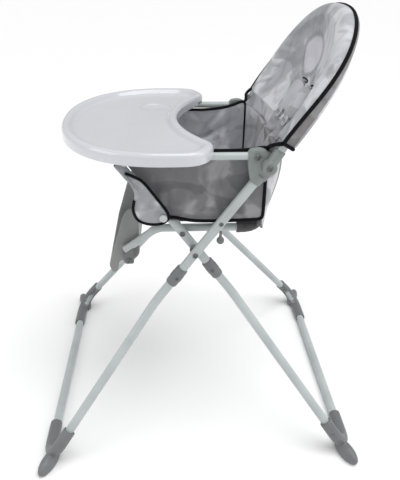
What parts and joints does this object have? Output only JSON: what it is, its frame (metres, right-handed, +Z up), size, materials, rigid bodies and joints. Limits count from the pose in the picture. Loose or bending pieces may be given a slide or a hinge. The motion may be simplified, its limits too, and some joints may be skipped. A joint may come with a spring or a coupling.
{
  "type": "baby high chair",
  "caption": "Folding baby high chair: crossed tube legs on floor bars, padded sling seat with hinged backrest, crescent tray on arm tubes and a moulded calf and foot rest.",
  "frame": {"origin": "on the floor, midway between the front and the rear floor bars and between the left and the right legs", "axes": "+Z up, the seated child faces -Y, +X is the child's left"},
  "size_m": [0.736, 0.7671, 1.0031],
  "materials": {
    "tube_paint": "pale grey-green satin powder coat",
    "grey_plastic": "fine texture",
    "hub_plastic": "smooth satin",
    "tray_plastic": "gloss",
    "printed_fabric": "printed woven cloth",
    "webbing": "woven webbing",
    "bolt_steel": "dark zinc"
  },
  "bodies": {
    "front_frame": {"front_leg_left": "tube_paint", "front_leg_right": "tube_paint", "front_connector_left": "grey_plastic", "front_connector_right": "grey_plastic", "front_lower_frame": "tube_paint", "front_foot_pad_left": "grey_plastic", "front_foot_pad_right": "grey_plastic", "cross_spacer_left": "grey_plastic", "cross_spacer_right": "grey_plastic", "cross_bolt_left": "bolt_steel", "cross_bolt_right": "bolt_steel", "arm_tube_left": "tube_paint", "arm_tube_right": "tube_paint", "hub_left": "hub_plastic", "hub_right": "hub_plastic", "arm_bolt_left": "bolt_steel", "arm_bolt_right": "bolt_steel", "arm_pin_left": "grey_plastic", "arm_pin_right": "grey_plastic", "side_panel_left": "printed_fabric", "side_panel_right": "printed_fabric", "arm_flap_left": "printed_fabric", "arm_flap_right": "printed_fabric", "backrest_bolt_left": "bolt_steel", "backrest_bolt_right": "bolt_steel"},
    "rear_frame": {"rear_leg_left": "tube_paint", "rear_leg_right": "tube_paint", "rear_connector_left": "grey_plastic", "rear_connector_right": "grey_plastic", "rear_lower_frame": "tube_paint", "rear_foot_pad_left": "grey_plastic", "rear_foot_pad_right": "grey_plastic", "seat_pivot_bolt_left": "bolt_steel", "seat_pivot_bolt_right": "bolt_steel"},
    "seat": {"seat_rail": "tube_paint", "seat_base": "printed_fabric", "seat_back_panel": "printed_fabric", "lap_strap_left": "webbing", "lap_strap_right": "webbing", "crotch_strap": "webbing", "buckle": "grey_plastic", "footrest_bracket_left": "tube_paint", "footrest_bracket_right": "tube_paint", "footrest_bolt_left": "bolt_steel", "footrest_bolt_right": "bolt_steel"},
    "footrest": {"footrest": "grey_plastic"},
    "backrest": {"backrest_tube": "tube_paint", "backrest_cover": "printed_fabric", "backrest_knuckle_left": "hub_plastic", "backrest_knuckle_right": "hub_plastic", "shoulder_strap_left": "webbing", "shoulder_strap_right": "webbing", "shoulder_pad_left": "printed_fabric", "shoulder_pad_right": "printed_fabric"},
    "tray": {"tray": "tray_plastic", "tray_clip_left": "grey_plastic", "tray_clip_right": "grey_plastic"},
    "lock_knob_left": {"lock_knob_left": "grey_plastic"},
    "lock_knob_right": {"lock_knob_right": "grey_plastic"},
    "buckle_button": {"buckle_button": "grey_plastic"}
  },
  "joints": [
    {"name": "frame_fold", "type": "hinge", "parent": "front_frame", "child": "rear_frame", "pos_m": [0, -0.008, 0.505], "axis": [1, 0, 0], "range_deg": [-58, 0]},
    {"name": "seat_level", "type": "hinge", "parent": "rear_frame", "child": "seat", "pos_m": [0, -0.0355, 0.5431], "axis": [1, 0, 0], "range_deg": [0, 58]},
    {"name": "footrest_tilt", "type": "hinge", "parent": "seat", "child": "footrest", "pos_m": [0, -0.158, 0.4641], "axis": [1, 0, 0], "range_deg": [0, 40]},
    {"name": "backrest_fold", "type": "hinge", "parent": "front_frame", "child": "backrest", "pos_m": [0, 0.1388, 0.714], "axis": [1, 0, 0], "range_deg": [0, 45]},
    {"name": "tray_slide", "type": "slide", "parent": "front_frame", "child": "tray", "axis": [0, -1, 0], "range_m": [-0.03, 0.28]},
    {"name": "lock_knob_left_pull", "type": "slide", "parent": "front_frame", "child": "lock_knob_left", "axis": [0, 0, -1], "range_m": [0, 0.008], "stiffness_N_per_m": 300, "springref_m": -0.004},
    {"name": "lock_knob_right_pull", "type": "slide", "parent": "front_frame", "child": "lock_knob_right", "axis": [0, 0, -1], "range_m": [0, 0.008], "stiffness_N_per_m": 300, "springref_m": -0.004},
    {"name": "buckle_button_press", "type": "slide", "parent": "seat", "child": "buckle_button", "axis": [0, 0, -1], "range_m": [0, 0.0025], "stiffness_N_per_m": 400, "springref_m": -0.002}
  ],
  "couplings": [
    {"joint": "seat_level", "follows": "frame_fold", "ratio": -1}
  ]
}
